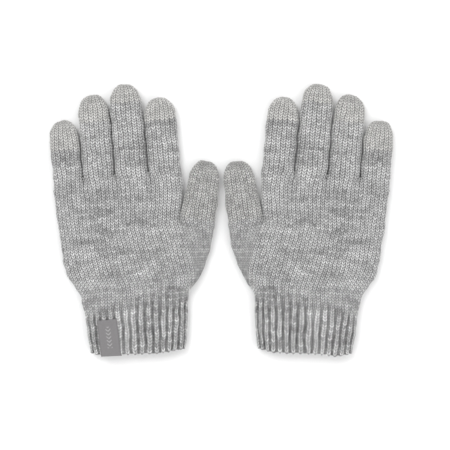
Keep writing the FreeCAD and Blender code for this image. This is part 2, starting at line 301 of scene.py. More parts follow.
def lower_row(t):
    """The path in plan of a row of the lower hand, and where its thumb's part ends.

    t is 0 at the wrist and 1 at the thumb's crotch. On the thumb's side the row leans down more and more.
    """
    y = WRIST + (THUMB_CROTCH[1] - WRIST) * t
    lean = math.tan(math.radians(THUMB_LEAN)) * max(t, 0.0) ** 1.6
    right = float(between(HAND_LITTLE_SIDE, y))
    share = THUMB_WALES / (THUMB_WALES + PALM_WALES)
    left = float(between(HAND_THUMB_SIDE, y))
    middle = left + share * (right - left)
    if t > 0.5:
        blend = min(1.0, (t - 0.5) / 0.5)
        middle += (THUMB_CROTCH[0] - middle) * blend**2 * (3 - 2 * blend)
    soft = 4.0 * max(0.0, 1 - t) + 0.6   # how gently the row turns down, in millimetres
    for _ in range(6):
        drop = lean * soft * math.log1p(math.exp(min(60.0, (middle - left) / soft)))
        left = float(between(HAND_THUMB_SIDE, y - drop))
    xs = np.linspace(left, right, 90)
    drops = lean * soft * np.logaddexp(0, (middle - xs) / soft)
    return np.stack([xs, y - drops], axis=1), middle


def split(path, x, gap):
    """A path cut at x, with a gap between its two parts."""
    y = np.interp(x, path[:, 0], path[:, 1])
    left = np.array([p for p in path if p[0] < x - gap / 2 - 0.2] + [(x - gap / 2, y)])
    right = np.array([(x + gap / 2, y)] + [p for p in path if p[0] > x + gap / 2 + 0.2])
    return left, right


def dimple(distance):
    """How much of the parting above a crotch shows at a distance below it."""
    return math.exp(-((max(distance, 0.0) / PARTING) ** 1.3))


def gusset_share(t):
    """The thumb's share of the hand's round: its wales are gathered at the fold of the side at the wrist."""
    whole = THUMB_WALES / (THUMB_WALES + PALM_WALES)
    return GATHERED + (whole - GATHERED) * min(max(t, 0.0), 1.0) ** 0.85


def lower_hand_rings():
    """The hand from the wrist to the thumb's crotch, where it parts into the thumb and the upper hand."""
    rows = rows_of(CUFF_COURSES, LOWER_COURSES)
    wales = THUMB_WALES + PALM_WALES
    rings = []
    for row in rows:
        t = (row - CUFF_COURSES) / LOWER_COURSES
        path, middle = lower_row(t)
        share = gusset_share(t)
        crowding = SIDE_CROWDING * math.exp(-max(t, 0.0) / 0.2)
        up, down = (
            crowded(np.interp(fractions, [0, THUMB_WALES / wales, 1], [0, share, 1]), crowding)
            for fractions in (even(wales, UPPER_STEPS), 1 - even(wales, LOWER_STEPS))
        )
        whole = np.concatenate(lobe(path, RISE, FALL, up, down))
        left, right = split(path, middle, 2 * THUMB_GAP)
        parted = ring_of([(left, THUMB_WALES, RISE, FALL), (right, PALM_WALES, RISE, FALL)])
        w = dimple((1 - t) * (THUMB_CROTCH[1] - WRIST))
        rings.append(whole * (1 - w) + parted * w)
    return np.array(rings), wales_round(0, wales, wales), rows


def finger_edges():
    """The left and right edge of each finger's base, across the hand."""
    return [(x - width / 2, x + width / 2) for x, width, _, _ in FINGERS.values()]


def upper_hand_rings():
    """The hand from the thumb's crotch to the fingers' crotches, where it parts into the four fingers."""
    start = THUMB_CROTCH[1]
    first = CUFF_COURSES + LOWER_COURSES
    rows = rows_of(first, UPPER_COURSES)
    rings = []
    for row in rows:
        t = (row - first) / UPPER_COURSES
        y = start + (FINGER_CROTCH - start) * t
        a = float(between(HAND_INDEX_SIDE, y)) + THUMB_GAP * max(0.0, 1 - t * 4) * 0.2
        b = float(between(HAND_LITTLE_SIDE, y))
        whole = ring_of([(straight(a, b, y), PALM_WALES, RISE, FALL)])
        base = [(straight(left, right, y), FINGER_WALES, RISE, FALL) for left, right in finger_edges()]
        parted = ring_of(base)
        w = dimple((1 - t) * (FINGER_CROTCH - start))
        rings.append(whole * (1 - w) + parted * w)
    return np.array(rings), wales_round(THUMB_WALES, THUMB_WALES + PALM_WALES, PALM_WALES), rows


def finger_outline(length, dome, taper):
    """Shares of a finger's width, and how far along it they are, up its side to the middle of its tip."""
    straight_part = length - dome
    turn = np.linspace(0, math.pi / 2, 60)
    share = taper * np.cos(turn) ** (2 / DOME_POWER)
    along = straight_part + dome * np.sin(turn) ** (2 / 2.1)
    return np.concatenate([[1.0], share]), np.concatenate([[0.0], along])


def finger_rings(width, length, dome, taper, wales, first):
    """The rings of a finger standing on the origin, evenly spaced up its side, and the v of their rows."""
    share, along = finger_outline(length, dome, taper)
    side = np.concatenate([[0], np.cumsum(np.hypot(np.diff(share) * width / 2, np.diff(along)))])
    courses = round(side[-1] / COURSE)
    rows = rows_of(first, courses, past_end=0)
    rings = []
    for row in rows:
        at = side[-1] * min((row - first) / courses, LAST_RING)
        s = float(np.interp(at, side, share))
        y = float(np.interp(at, side, along)) + min(0.0, at)
        half = width / 2 * s
        full = min(1.0, s / taper)
        height = math.sqrt(max(0.0, 1 - (1 - full) ** 1.6))
        rings.append(ring_of([(straight(-half, half, y), wales, RISE * height, FALL * height)]))
    return np.array(rings), rows


# Meshes -----------------------------------------------------------------------------------------------------

def stitch_relief(u, v):
    """How far a point of a stitch stands out, from 0 in the gaps to 1 on a leg."""
    f = u % 1.0
    legs = np.sin(2 * math.pi * f) ** 2
    legs += (1 - legs) * 0.4 * np.sin(math.pi * f) ** 2
    strand = 0.5 - 0.5 * np.cos(2 * math.pi * (v - LEG_SLOPE * np.abs(2 * f - 1)))
    return legs * (0.45 + 0.55 * strand) + 0.12 * strand


def normals_of(rings):
    """The outward normals of a tube of rings."""
    round_way = np.roll(rings, -1, axis=1) - np.roll(rings, 1, axis=1)
    along_way = np.gradient(rings, axis=0)
    normal = np.cross(round_way, along_way)
    return normal / np.maximum(np.linalg.norm(normal, axis=2, keepdims=True), 1e-9)


def settled(rings, seed):
    """The rings, made as irregular as a hand-laid knit. Only the upper layer is moved up and down."""
    moved = rings.copy()
    lift = np.clip((rings[..., 2] - 3.0) / 6.0, 0, 1)
    for k, (axis, amount, size) in enumerate(SETTLING):
        share = lift if axis == 2 else 1.0
        moved[..., axis] += share * amount * wobble(rings, size, seed + k)
    return moved


class Glove:
    """Where one glove's drawing lies in the row's frame, and the bodies that its pieces ride on."""

    def __init__(self, side):
        self.side = side
        self.mirror = -1.0 if side == "left" else 1.0
        self.seed = GLOVE_SEEDS[side]
        hinge = next(j for j in frame["joints"] if j["name"] == side + "_middle_fold")
        ax, ay, _ = hinge["axis"]
        x, y, _ = hinge["pos_m"]
        self.across = np.array([ax, ay * self.mirror])
        self.along = np.array([-self.across[1], self.across[0]])
        middle = FINGERS["middle"][0]
        self.origin = np.array([x * self.mirror, y]) - MM * (
            self.across * middle + self.along * (FINGER_CROTCH + KNUCKLE)
        )

    def place(self, points):
        """Points of the glove's own frame, in millimetres, as points of the row's frame, in metres."""
        points = np.asarray(points, dtype=float)
        flat = self.origin + MM * (points[..., :1] * self.across + points[..., 1:2] * self.along)
        return np.concatenate([flat[..., :1] * self.mirror, flat[..., 1:], points[..., 2:] * MM], axis=-1)

    def turn(self, ways):
        """Directions of the glove's own frame as directions of the row's frame."""
        flat = ways[..., :1] * self.across + ways[..., 1:2] * self.along
        return np.concatenate([flat[..., :1] * self.mirror, flat[..., 1:], ways[..., 2:]], axis=-1)

    def body(self, name):
        return f"{self.side}_{name}"


def grid_faces(columns, values, offset, flip):
    """The quads of a tube of rings with the given v values, and the stitch coordinates of their corners."""
    u, u_next = columns
    count = len(u)
    r, c = np.meshgrid(np.arange(len(values) - 1), np.arange(count), indexing="ij")
    after = (c + 1) % count
    corners = [(r, c, u[c]), (r, after, u_next[c]), (r + 1, after, u_next[c]), (r + 1, c, u[c])]
    if flip:
        corners = corners[::-1]
    index = np.stack([offset + a * count + b for a, b, _ in corners], axis=-1).reshape(-1, 4)
    uv = np.stack([np.stack([edge, values[a]], axis=-1) for a, _, edge in corners], axis=-2)
    return index, uv.reshape(-1, 4, 2)


def new_object(name, points, faces, uvs=None, normals=None, smooth=True, layer_name="knit"):
    """A mesh object from points and quads, with the stitch coordinates of its corners as a UV layer."""
    mesh = bpy.data.meshes.new(name)
    mesh.vertices.add(len(points))
    mesh.vertices.foreach_set("co", np.ascontiguousarray(points, dtype=np.float32).ravel())
    mesh.loops.add(len(faces) * 4)
    mesh.loops.foreach_set("vertex_index", np.ascontiguousarray(faces, dtype=np.int32).ravel())
    mesh.polygons.add(len(faces))
    mesh.polygons.foreach_set("loop_start", np.arange(len(faces), dtype=np.int32) * 4)
    mesh.polygons.foreach_set("use_smooth", np.full(len(faces), smooth))
    if uvs is not None:
        layer = mesh.uv_layers.new(name=layer_name)
        layer.data.foreach_set("uv", np.ascontiguousarray(uvs, dtype=np.float32).ravel())
    mesh.update(calc_edges=True)
    mesh.validate()
    if normals is not None:
        mesh.normals_split_custom_set_from_vertices(normals.tolist())
    obj = bpy.data.objects.new(name, mesh)
    bpy.context.scene.collection.objects.link(obj)
    return obj


def surface_of(section, seed):
    """The surface of a section's stitches, the plain one inside it, and the normals of both, row by row."""
    rings, columns, rows = section
    rings = settled(rings, seed)
    smooth = normals_of(rings)
    grid_u, grid_v = np.meshgrid(columns[0], rows)
    wale = np.linalg.norm(np.roll(rings, -1, axis=1) - rings, axis=2) / (columns[1] - columns[0])
    ribs = rib_relief(grid_u, grid_v)
    relief = RELIEF * np.clip(wale / FULL_WALE, 0, 1) * stitch_relief(grid_u, grid_v) + ribs
    outside = rings + smooth * relief[..., None]
    outside[..., 2] = np.maximum(outside[..., 2], LOWEST)
    inside = rings - smooth * (WALL - FURROW_FOLLOWED * np.minimum(ribs, 0.0))[..., None]
    real = slice(1, None) if rows[-1] % 1 == 0 else slice(1, -1)
    return {
        "columns": columns, "rows": rows[real], "inside": inside[real], "smooth": smooth[real],
        "outside": outside[real], "normals": normals_of(outside)[real],
    }


def part_of(surface, start, end):
    """Some of the rows of a surface."""
    part = {key: value[start:end] for key, value in surface.items() if key != "columns"}
    return {"columns": surface["columns"], **part}


def knitted(glove, name, surface, material, closed_tip=False):
    """A knitted shell: the stitches outside, a plain inner face, and rims that join them."""
    columns, rows, outside, smooth = (surface[key] for key in ("columns", "rows", "outside", "smooth"))
    u, u_next = columns
    count = len(u)
    coarse = np.unique(np.concatenate([np.arange(0, len(rows), COURSE_STEPS * 2), [len(rows) - 1]]))
    if closed_tip:
        coarse = coarse[:-1]
    inside = surface["inside"][coarse]
    points = np.concatenate([outside.reshape(-1, 3), inside.reshape(-1, 3)])
    normals = np.concatenate([surface["normals"].reshape(-1, 3), -smooth[coarse].reshape(-1, 3)])
    last = (len(rows) - 1) * count
    start_inside = len(rows) * count
    last_inside = start_inside + (len(coarse) - 1) * count

    flip = glove.mirror < 0
    parts = [grid_faces(columns, rows, 0, flip), grid_faces(columns, rows[coarse], start_inside, not flip)]

    def add_faces(quad, us, vs, turned):
        uv = np.stack([np.stack(us, axis=-1), np.stack(vs, axis=-1)], axis=-1)
        parts.append((quad[:, ::-1], uv[:, ::-1]) if turned else (quad, uv))

    rims = [(start_inside, 0, rows[0] - 1.0)]   # each is one course high
    if not closed_tip:
        rims.append((last, last_inside, rows[-1]))
    k = np.arange(count)
    for low, high, v in rims:
        quad = np.stack([low + k, low + (k + 1) % count, high + (k + 1) % count, high + k], axis=-1)
        here, beyond = np.full(count, v), np.full(count, v + 1.0)
        add_faces(quad, [u, u_next, u_next, u], [here, here, beyond, beyond], flip)
    if closed_tip:
        j = np.arange(0, count, 2)
        for base, turned in ((last, flip), (last_inside, not flip)):
            centre = len(points)
            points = np.concatenate([points, points[base:base + count].mean(axis=0, keepdims=True)])
            normals = np.concatenate([normals, normals[base:base + count].mean(axis=0, keepdims=True)])
            middle = np.full(len(j), centre)
            quad = np.stack([base + j, base + j + 1, base + (j + 2) % count, middle], axis=-1)
            edge = np.full(len(j), rows[-1])
            us = [u[j], u_next[j], u_next[j + 1], u_next[j]]
            add_faces(quad, us, [edge, edge, edge, edge + 0.1], turned)
    faces = np.concatenate([p[0] for p in parts])
    uvs = np.concatenate([p[1].reshape(-1, 2) for p in parts])
    obj = new_object(f"{glove.side}_{name}", glove.place(points), faces, uvs, glove.turn(normals))
    obj.data.materials.append(material)
    return obj


# Materials --------------------------------------------------------------------------------------------------

class Graph:
    """A short way to write a node tree: every method returns an output socket."""

    def __init__(self, name):
        self.material = bpy.data.materials.new(name)
        self.material.use_nodes = True
        self.tree = self.material.node_tree
        self.tree.nodes.clear()

    def node(self, kind, inputs=(), **settings):
        made = self.tree.nodes.new(kind)
        for key, value in settings.items():
            setattr(made, key, value)
        for key, value in dict(inputs).items():
            if isinstance(value, bpy.types.NodeSocket):
                self.tree.links.new(value, made.inputs[key])
            else:
                made.inputs[key].default_value = value
        return made

    def math(self, operation, *values):
        return self.node("ShaderNodeMath", enumerate(values), operation=operation).outputs[0]

    def vector(self, x=0.0, y=0.0, z=0.0):
        return self.node("ShaderNodeCombineXYZ", {"X": x, "Y": y, "Z": z}).outputs[0]

    def noise(self, vector, scale, detail=2.0, roughness=0.5):
        inputs = {"Vector": vector, "Scale": scale, "Detail": detail, "Roughness": roughness}
        return self.node("ShaderNodeTexNoise", inputs).outputs["Fac"]

    def random(self, vector):
        return self.node("ShaderNodeTexWhiteNoise", {"Vector": vector}).outputs["Value"]

    def mix(self, factor, a, b):
        made = self.node("ShaderNodeMix", data_type="RGBA")
        for key, value in (("Factor", factor), ("A", a), ("B", b)):
            kind = "VALUE" if key == "Factor" else "RGBA"
            socket = next(s for s in made.inputs if s.name == key and s.type == kind)
            if isinstance(value, bpy.types.NodeSocket):
                self.tree.links.new(value, socket)
            else:
                socket.default_value = value
        return next(s for s in made.outputs if s.type == "RGBA")

    def tinted(self, bright, tint):
        """A brightness as a colour of this tint."""
        channels = enumerate(self.math("MULTIPLY", bright, c) for c in tint)
        return self.node("ShaderNodeCombineColor", channels).outputs[0]

    def finish(self, color, height, roughness, sheen, bump, strength=1.0):
        """The material with this colour, and a bump of so many millimetres from this height."""
        bumped = self.node("ShaderNodeBump", {"Height": height, "Distance": bump * MM, "Strength": strength})
        inputs = {
            "Base Color": color, "Roughness": roughness, "Normal": bumped.outputs[0],
            "Sheen Weight": sheen, "Sheen Roughness": 0.6, "Specular IOR Level": 0.25,
        }
        surface = self.node("ShaderNodeBsdfPrincipled", inputs)
        out = self.node("ShaderNodeOutputMaterial")
        self.tree.links.new(surface.outputs[0], out.inputs[0])
        return self.material


# A yarn's look: tint, lightness, how strongly its stitches, courses and fibres differ, how light the painted
# shade in its gaps is
HEATHER = ((1.0, 1.0, 1.0), 0.61, 0.36, 0.52, 0.60, 0.0)
CONDUCTIVE = ((1.0, 0.99, 0.965), 0.66, 0.26, 0.14, 0.40, 0.08)
OPEN_CONDUCTIVE = ((1.0, 0.995, 0.975), 0.59, 0.38, 0.20, 0.55, 0.0)


def yarn(name, look, change=None, before=HEATHER):
    """Knitted yarn over a "knit" UV layer. Below the course of the change, it is still the yarn before it."""
    g = Graph(name)
    uv = g.node("ShaderNodeUVMap", uv_map="knit").outputs[0]
    parts = g.node("ShaderNodeSeparateXYZ", {"Vector": uv})
    u, v = parts.outputs[0], parts.outputs[1]
    wale = g.math("FLOOR", u)
    f = g.math("SUBTRACT", u, wale)
    bend = g.math("ABSOLUTE", g.math("MULTIPLY_ADD", f, 2.0, -1.0))
    phase = g.math("SUBTRACT", v, g.math("MULTIPLY", bend, LEG_SLOPE))
    course = g.math("FLOOR", phase)
    t = g.math("SUBTRACT", phase, course)
    leg = g.math("FLOOR", g.math("MULTIPLY", u, 2.0))

    if change is None:
        def pick(before_value, value):
            return value
    else:
        changed = g.math("GREATER_THAN", course, change - 0.5)

        def pick(before_value, value):
            return g.math("MULTIPLY_ADD", changed, value - before_value, before_value)

    tint = [pick(a, b) for a, b in zip(before[0], look[0])]
    light, spread, streaks, flecks, gap = (pick(a, b) for a, b in zip(before[1:], look[1:]))

    # Painted shade: form is 1 on a leg and falls towards the gaps between legs and between courses, where
    # shade falls. It falls less in the middle of a V than between wales. It is also the bump's height.
    strand = g.math("SINE", g.math("MULTIPLY", t, math.pi))
    legs = g.math("ABSOLUTE", g.math("SINE", g.math("MULTIPLY", u, 2 * math.pi)))
    closed = g.math("SINE", g.math("MULTIPLY", f, math.pi))
    closed = g.math("MULTIPLY", g.math("MULTIPLY", closed, closed), 0.45)
    legs = g.math("MULTIPLY_ADD", g.math("SUBTRACT", 1.0, legs), closed, legs)
    lines = g.math("MULTIPLY", strand, legs)
    dots = g.math("MULTIPLY", g.math("ADD", strand, legs), 0.5)
    form = g.math("MULTIPLY_ADD", dots, 0.4, g.math("MULTIPLY", lines, 0.6))

    per_leg = g.random(g.vector(leg, course, 3.0))
    per_stitch = g.random(g.vector(wale, course, 8.0))
    streak_place = g.vector(g.math("MULTIPLY", u, 0.12), g.math("MULTIPLY", course, 0.45), 3.0)
    streak = g.noise(streak_place, 1.0, 2.0, 0.6)
    broad_place = g.vector(g.math("MULTIPLY", u, 0.05), g.math("MULTIPLY", v, 0.13), 12.0)
    broad = g.noise(broad_place, 1.0, 2.0, 0.6)
    along_fibres = g.math("MULTIPLY", phase, 8.0)
    fibre_place = g.vector(g.math("MULTIPLY", u, 3.4), along_fibres, g.math("MULTIPLY", leg, 3.7))
    fibre = g.noise(fibre_place, 1.0, 3.0, 0.65)

    def differing(value, noise, amount, share):
        step = g.math("MULTIPLY", g.math("SUBTRACT", noise, 0.5), g.math("MULTIPLY", amount, share))
        return g.math("ADD", value, step)

    ribs = rib_share(g, u, v)
    spread = g.math("MULTIPLY", spread, g.math("MULTIPLY_ADD", ribs, RIB_SPREAD, 1.0))
    value = differing(1.0, per_leg, spread, 1.0)
    value = differing(value, per_stitch, spread, 0.8)
    value = differing(value, streak, streaks, 2.4)
    value = differing(value, broad, streaks, 1.0)
    value = differing(value, fibre, flecks, 2.0)
    # Painted shade in the gaps: the colour is darkened where form is low, down to gap where it is 0.
    shade = g.math("MULTIPLY_ADD", form, g.math("SUBTRACT", 1.0, gap), gap)
    # Painted shade: the yarn's colour is made darker towards the bottom of each furrow of the ribs, where
    # shade falls.
    wave = g.math("SINE", g.math("MULTIPLY", g.math("SUBTRACT", u, THUMB_WALES), -math.pi))
    furrow = g.math("MULTIPLY", ribs, g.math("MAXIMUM", wave, 0.0))
    shade = g.math("MULTIPLY", shade, g.math("MULTIPLY_ADD", furrow, -PAINTED_FURROW_SHADE, 1.0))
    bright = g.math("MULTIPLY", g.math("MULTIPLY", g.math("MAXIMUM", value, 0.15), shade), light)
    color = g.tinted(bright, tint)
    side = g.math("MULTIPLY_ADD", g.math("MODULO", leg, 2.0), 2.0, -1.0)
    twist = g.math("ADD", along_fibres, g.math("MULTIPLY", g.math("MULTIPLY", f, side), 34.0))
    height = g.math("MULTIPLY_ADD", g.math("SINE", twist), 0.10, form)
    height = g.math("MULTIPLY_ADD", fibre, 0.5, height)
    return g.finish(color, height, roughness=0.92, sheen=0.25, bump=0.28, strength=0.7)


def rib_share(g, u, v):
    """How fully the cuff's ribs are formed at a place on the yarn's surface, as rib_depth gives it."""
    across = g.math("DIVIDE", g.math("SUBTRACT", u, THUMB_WALES), PALM_WALES)
    across = g.math("MINIMUM", g.math("MAXIMUM", across, 0.0), 1.0)
    end = g.math("MULTIPLY_ADD", g.math("MULTIPLY", across, across), -RIBS_END_DROP, RIBS_END)
    t = g.math("DIVIDE", g.math("SUBTRACT", end, v), RIBS_FADE)
    return g.node("ShaderNodeMapRange", {"Value": t}, interpolation_type="SMOOTHSTEP").outputs[0]


def plain(name, rgb, roughness=0.7, sheen=0.0):
    """A thread of one colour with a fine grain."""
    g = Graph(name)
    place = g.node("ShaderNodeTexCoord").outputs["Object"]
    grain = g.noise(place, 2600.0, 3.0)
    dark = tuple(c * 0.8 for c in rgb) + (1.0,)
    color = g.mix(grain, dark, rgb + (1.0,))
    return g.finish(color, grain, roughness, sheen, bump=0.08)


SATIN_GROUND, SATIN_MOTIF = (0.212, 0.205, 0.209), (0.420, 0.415, 0.415, 1.0)
WEFT_PITCH, WARP_PITCH = 0.28, 0.22
CHEVRON_HALF, CHEVRON_PITCH = 1.9, 2.9
CHEVRONS_START, CHEVRONS_END = 5.5, 22.5    # along the ribbon from its head


def satin():
    """Woven satin ribbon: fine threads, woven edges, and a band of lighter chevrons along its middle."""
    g = Graph("woven_satin")
    uv = g.node("ShaderNodeUVMap", uv_map="weave").outputs[0]
    parts = g.node("ShaderNodeSeparateXYZ", {"Vector": uv})
    x, s = parts.outputs[0], parts.outputs[1]
    aside = g.math("ABSOLUTE", g.math("SUBTRACT", x, LABEL_WIDTH / 2))
    weft = g.math("SINE", g.math("MULTIPLY", s, 2 * math.pi / WEFT_PITCH))
    warp = g.math("SINE", g.math("MULTIPLY", x, 2 * math.pi / WARP_PITCH))
    thread = g.math("MULTIPLY_ADD", warp, 0.35, weft)
    blot = g.noise(g.vector(g.math("MULTIPLY", x, 0.4), g.math("MULTIPLY", s, 1.6)), 1.0, 3.0, 0.6)
    chevron = g.math("FRACT", g.math("DIVIDE", g.math("MULTIPLY_ADD", aside, 0.9, s), CHEVRON_PITCH))
    drawn = g.math("LESS_THAN", chevron, 0.27)
    drawn = g.math("MULTIPLY", drawn, g.math("LESS_THAN", aside, CHEVRON_HALF))
    drawn = g.math("MULTIPLY", drawn, g.math("GREATER_THAN", s, CHEVRONS_START))
    drawn = g.math("MULTIPLY", drawn, g.math("LESS_THAN", s, CHEVRONS_END))
    selvedge = g.math("GREATER_THAN", aside, LABEL_WIDTH / 2 - 0.9)
    bright = g.math("MULTIPLY_ADD", thread, 0.035, 0.95)
    bright = g.math("ADD", bright, g.math("MULTIPLY", g.math("SUBTRACT", blot, 0.5), 0.22))
    bright = g.math("SUBTRACT", bright, g.math("MULTIPLY", selvedge, 0.10))
    ground = g.tinted(bright, SATIN_GROUND)
    color = g.mix(g.math("MULTIPLY", drawn, 0.85), ground, SATIN_MOTIF)
    height = g.math("ADD", g.math("MULTIPLY", thread, 0.3), drawn)
    return g.finish(color, height, roughness=0.5, sheen=0.1, bump=0.06)


MAIN_YARN = yarn("heather_yarn", HEATHER)
ELASTIC = plain("covered_elastic", (0.42, 0.42, 0.41), 0.6)
SATIN = satin()
LOOSE_YARN = plain("loose_yarn", (0.36, 0.36, 0.355), 0.9, 0.2)
THREAD = plain("sewing_thread", (0.3, 0.3, 0.3), 0.6)


# The gloves -------------------------------------------------------------------------------------------------

def add_to_hand(glove, obj, node):
    """Makes a piece ride on the hand in place of a CAD node."""
    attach(obj, glove.body("hand"))
    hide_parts(f"{glove.side}_{node}")


def add_hand(glove):
    """The cuff with its elastic, the lower hand and the upper hand."""
    sections = (("cuff", cuff_rings), ("lower_hand", lower_hand_rings), ("upper_hand", upper_hand_rings))
    for name, section in sections:
        surface = surface_of(section(), glove.seed)
        add_to_hand(glove, knitted(glove, name + "_knit", surface, MAIN_YARN), name)
        if name == "cuff":
            add_elastic(glove, surface)


def tube(glove, line, radius, closed=True, sides=6):
    """A thread of round section along a line of points of the glove's own frame."""
    count = len(line)
    ahead = np.roll(line, -1, axis=0) - np.roll(line, 1, axis=0) if closed else np.gradient(line, axis=0)
    ahead /= np.linalg.norm(ahead, axis=1, keepdims=True)
    first = np.cross(ahead, np.array([0.0, 0.31, 0.95]))   # steep, so that no flat line runs along it
    first /= np.linalg.norm(first, axis=1, keepdims=True)
    second = np.cross(ahead, first)
    turn = 2 * math.pi * np.arange(sides) / sides
    ways = first[:, None] * np.cos(turn)[:, None] + second[:, None] * np.sin(turn)[:, None]
    points = line[:, None] + radius * ways
    k, j = np.meshgrid(np.arange(count if closed else count - 1), np.arange(sides), indexing="ij")
    corners = [(k, j), (k, (j + 1) % sides), ((k + 1) % count, (j + 1) % sides), ((k + 1) % count, j)]
    faces = np.stack([a * sides + b for a, b in corners], axis=-1).reshape(-1, 4)
    if glove.mirror > 0:
        faces = faces[:, ::-1]
    return points.reshape(-1, 3), faces


def joined(glove, name, parts, material):
    """One object from several (points, faces) parts in the glove's own frame."""
    points, faces, offset = [], [], 0
    for part_points, part_faces in parts:
        points.append(part_points)
        faces.append(part_faces + offset)
        offset += len(part_points)
    obj = new_object(f"{glove.side}_{name}", glove.place(np.concatenate(points)), np.concatenate(faces))
    obj.data.materials.append(material)
    return obj


def add_elastic(glove, cuff):
    """Rounds of covered elastic that run along the inside of the cuff."""
    rounds = []
    for k in range(ELASTIC_ROUNDS):
        row = int((k + 0.6) / ELASTIC_ROUNDS * (len(cuff["rows"]) - 1))
        rounds.append(tube(glove, cuff["inside"][row], ELASTIC_RADIUS))
    obj = joined(glove, "cuff_elastic_thread", rounds, ELASTIC)
    add_to_hand(glove, obj, "cuff_elastic")


def add_crotch_loops(glove):
    """The small loop of yarn that closes the knitting at the foot of each parting."""
    edges = finger_edges()
    spots = [((left[1] + right[0]) / 2, FINGER_CROTCH - 1.6) for left, right in zip(edges, edges[1:])]
    spots.append((THUMB_CROTCH[0] + 0.3, THUMB_CROTCH[1] - 1.8))
    rng = np.random.default_rng(glove.seed)
    loops = []
    for x, y in spots:
        turn = np.linspace(0, 2 * math.pi, 24, endpoint=False)
        wide, long = rng.uniform(0.75, 1.0), rng.uniform(1.1, 1.5)
        tilt = rng.uniform(-0.35, 0.35)
        line = np.stack([
            x + wide * np.cos(turn) + tilt * np.sin(turn),
            y + long * np.sin(turn),
            MIDDLE_HEIGHT + RISE - 2.1 + 0.5 * np.sin(turn + rng.uniform(0, 6)),
        ], axis=1)
        loops.append(tube(glove, line, LOOP_YARN, sides=8))
    obj = joined(glove, "crotch_loops_yarn", loops, LOOSE_YARN)
    add_to_hand(glove, obj, "crotch_loops")


def label_line():
    """The label's middle surface, as (y, z) points from its head, over the hem and back inside."""
    top = MIDDLE_HEIGHT + CUFF_RISE + LABEL_CLEAR
    inner = MIDDLE_HEIGHT + CUFF_RISE - LABEL_INNER
    hem = HEM + HEM_SLOPE * LABEL_MIDDLE - 0.15
    middle, half = (top + inner) / 2, (top - inner) / 2
    outer_part = [(y, top) for y in np.linspace(LABEL_HEAD, hem, 56)[:-1]]
    turn = np.linspace(math.pi / 2, -math.pi / 2, 15)
    fold = [(hem - LABEL_FOLD * math.cos(a), middle + half * math.sin(a)) for a in turn]
    inner_part = [(y, inner) for y in np.linspace(hem, hem + LABEL_TURN_IN, 16)[1:]]
    return np.array(outer_part + fold + inner_part)


def add_label(glove):
    """A woven satin strip, folded round the hem, that sinks a little between the ribs, and its stitching."""
    line = label_line()
    steps = np.concatenate([[0], np.cumsum(np.hypot(*np.diff(line, axis=0).T))])
    ahead = np.gradient(line, axis=0)
    ahead /= np.linalg.norm(ahead, axis=1, keepdims=True)
    out = np.stack([ahead[:, 1], -ahead[:, 0]], axis=1)
    across = np.linspace(-LABEL_WIDTH / 2, LABEL_WIDTH / 2, 41)
    lean = math.radians(LABEL_LEAN)
    sheets = []
    for side in (1, -1):
        x, row = np.meshgrid(across, np.arange(len(line)))
        y = line[row, 0] + side * LABEL_THICK / 2 * out[row, 0]
        z = line[row, 1] + side * LABEL_THICK / 2 * out[row, 1]
        flat = np.stack([LABEL_MIDDLE + x, y, z], axis=-1)
        edge = np.clip((np.abs(x) - LABEL_WIDTH / 2 + CURL_WIDTH) / CURL_WIDTH, 0, 1)
        above = np.clip((z - MIDDLE_HEIGHT - CUFF_RISE) / 0.5, 0, 1)
        sag = LABEL_SAG * np.cos(2 * math.pi * x / SAG_PITCH + 0.6) + 0.07 * wobble(flat, 7.0, LABEL_SEED)
        sag -= LABEL_CURL * edge**2
        flat[..., 2] += above * sag
        dx, dy = flat[..., 0] - LABEL_MIDDLE, flat[..., 1] - HEM
        near_hem = np.clip(1 - dy / (LABEL_HEAD - HEM), 0, 1)
        dy += dx * (HEM_SLOPE + math.tan(lean)) * near_hem
        flat[..., 0] = LABEL_MIDDLE + dx * math.cos(lean) + dy * math.sin(lean)
        flat[..., 1] = HEM - dx * math.sin(lean) + dy * math.cos(lean)
        sheets.append(flat)
    rows, columns = sheets[0].shape[:2]
    points = np.concatenate([sheet.reshape(-1, 3) for sheet in sheets])
    uv_points = np.stack(np.meshgrid(across + LABEL_WIDTH / 2, steps), axis=-1).reshape(-1, 2)
    uv_points = np.concatenate([uv_points, uv_points])
    r, c = [a.ravel() for a in np.meshgrid(np.arange(rows - 1), np.arange(columns - 1), indexing="ij")]
    corner = r * columns + c
    front = np.stack([corner, corner + columns, corner + columns + 1, corner + 1], axis=-1)
    back = front[:, ::-1] + rows * columns
    border = [(0, k) for k in range(columns - 1)] + [(k, columns - 1) for k in range(rows - 1)]
    border += [(rows - 1, k) for k in range(columns - 1, 0, -1)] + [(k, 0) for k in range(rows - 1, 0, -1)]
    ids = np.array([a * columns + b for a, b in border])
    after = np.roll(ids, -1)
    rim = np.stack([ids, after, after + rows * columns, ids + rows * columns], axis=-1)
    faces = np.concatenate([front, back, rim])
    if glove.mirror < 0:
        faces = faces[:, ::-1]
    uvs = uv_points[faces].reshape(-1, 2)
    obj = new_object(glove.side + "_label_satin", glove.place(points), faces, uvs, layer_name="weave")
    obj.data.materials.append(SATIN)
    obj.data.set_sharp_from_angle(angle=math.radians(50))
    add_to_hand(glove, obj, "label")
    stitching = add_label_stitching(glove, sheets[0])
    flat = (LABEL_WIDTH * MM, LABEL_LENGTH * MM)


